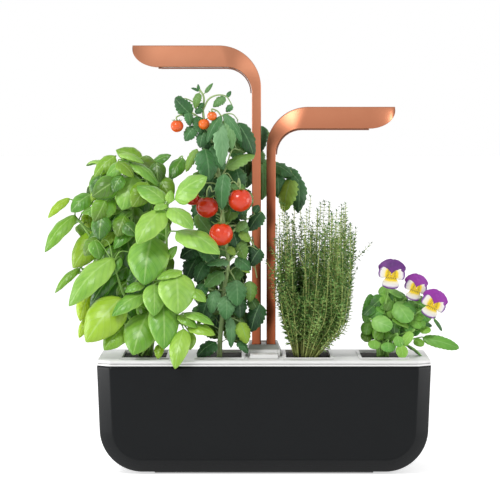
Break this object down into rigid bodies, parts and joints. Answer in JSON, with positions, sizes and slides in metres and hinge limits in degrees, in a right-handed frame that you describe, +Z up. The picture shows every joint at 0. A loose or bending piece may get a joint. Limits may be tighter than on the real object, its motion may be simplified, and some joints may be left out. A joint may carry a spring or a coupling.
{
  "type": "countertop hydroponic garden",
  "caption": "Countertop hydroponic garden: black pot with water tank and pump, white deck with lift-out plant pods, and sliding copper lamp arms.",
  "frame": {"origin": "centre of the rubber pad that the pot stands on, at the surface it stands on", "axes": "+X to the right seen from the front, +Y from the front to the back, +Z up"},
  "size_m": [0.431, 0.1794, 0.4418],
  "materials": {
    "black_gloss": "gloss",
    "white_plastic": "satin",
    "frosted_plastic": "frosted",
    "copper": "brushed, copper anodised",
    "dark_trim": "matt",
    "rubber": "matt",
    "steel": "satin",
    "circuit": "satin",
    "diffuser": "frosted",
    "plug": "matt",
    "felt": "matt",
    "basil_leaf": "waxy leaf",
    "tomato_leaf": "soft leaf",
    "tomato_fruit": "gloss",
    "thyme_leaf": "soft leaf",
    "viola_leaf": "soft leaf",
    "viola_petal": "velvety"
  },
  "bodies": {
    "pot": {"pot_shell": "black_gloss", "water_tank": "white_plastic", "base_pad": "rubber"},
    "deck_unit": {"deck": "white_plastic", "mast_console": "frosted_plastic", "mast_guide": "white_plastic", "mast_spring_left": "steel", "mast_spring_right": "steel", "filler_funnel": "white_plastic", "flap_pin": "steel", "pump_body": "rubber", "pump_cover": "rubber", "intake_strainer": "felt", "pump_screw_left": "steel", "pump_screw_right": "steel", "riser_hose": "frosted_plastic", "water_channel_left": "frosted_plastic", "water_channel_right": "frosted_plastic", "control_board": "circuit", "dc_jack": "rubber"},
    "arm_left": {"arm_shell_left": "copper", "arm_trim_left": "dark_trim", "led_board_left": "circuit", "lamp_diffuser_left": "diffuser", "mast_glide_left": "rubber"},
    "arm_right": {"arm_shell_right": "copper", "arm_trim_right": "dark_trim", "led_board_right": "circuit", "lamp_diffuser_right": "diffuser", "mast_glide_right": "rubber"},
    "flap": {"filler_flap": "white_plastic", "flap_window": "diffuser"},
    "float": {"level_float": "copper"},
    "pump_rotor": {"impeller": "white_plastic"},
    "button": {"power_button": "white_plastic"},
    "pod_basil": {"pod_cup_basil": "white_plastic", "grow_plug_basil": "plug", "wick_basil": "felt", "basil_plant": "basil_leaf"},
    "pod_tomato": {"pod_cup_tomato": "white_plastic", "grow_plug_tomato": "plug", "wick_tomato": "felt", "tomato_plant": "tomato_leaf"},
    "pod_thyme": {"pod_cup_thyme": "white_plastic", "grow_plug_thyme": "plug", "wick_thyme": "felt", "thyme_plant": "thyme_leaf"},
    "pod_viola": {"pod_cup_viola": "white_plastic", "grow_plug_viola": "plug", "wick_viola": "felt", "viola_plant": "viola_leaf", "viola_flower_1": "viola_petal", "viola_flower_2": "viola_petal", "viola_flower_3": "viola_petal"}
  },
  "joints": [
    {"name": "deck_lift", "type": "slide", "parent": "pot", "child": "deck_unit", "axis": [0, 0, 1], "range_m": [0, 0.13]},
    {"name": "arm_left_slide", "type": "slide", "parent": "deck_unit", "child": "arm_left", "axis": [0, 0, 1], "range_m": [-0.065, 0]},
    {"name": "arm_right_slide", "type": "slide", "parent": "deck_unit", "child": "arm_right", "axis": [0, 0, 1], "range_m": [-0.004, 0.064]},
    {"name": "flap_hinge", "type": "hinge", "parent": "deck_unit", "child": "flap", "pos_m": [0, -0.0205, 0.1228], "axis": [-1, 0, 0], "range_deg": [0, 88]},
    {"name": "float_slide", "type": "slide", "parent": "deck_unit", "child": "float", "axis": [0, 0, 1], "range_m": [0, 0.018]},
    {"name": "pump_spin", "type": "hinge", "parent": "deck_unit", "child": "pump_rotor", "pos_m": [0, 0.04921, 0.0162], "axis": [0, 0, 1], "continuous": true},
    {"name": "button_press", "type": "slide", "parent": "deck_unit", "child": "button", "axis": [0, 0, -1], "range_m": [0, 0.0008], "stiffness_N_per_m": 300},
    {"name": "pod_basil_lift", "type": "slide", "parent": "deck_unit", "child": "pod_basil", "axis": [0, 0, 1], "range_m": [0, 0.06]},
    {"name": "pod_tomato_lift", "type": "slide", "parent": "deck_unit", "child": "pod_tomato", "axis": [0, 0, 1], "range_m": [0, 0.06]},
    {"name": "pod_thyme_lift", "type": "slide", "parent": "deck_unit", "child": "pod_thyme", "axis": [0, 0, 1], "range_m": [0, 0.06]},
    {"name": "pod_viola_lift", "type": "slide", "parent": "deck_unit", "child": "pod_viola", "axis": [0, 0, 1], "range_m": [0, 0.06]}
  ]
}
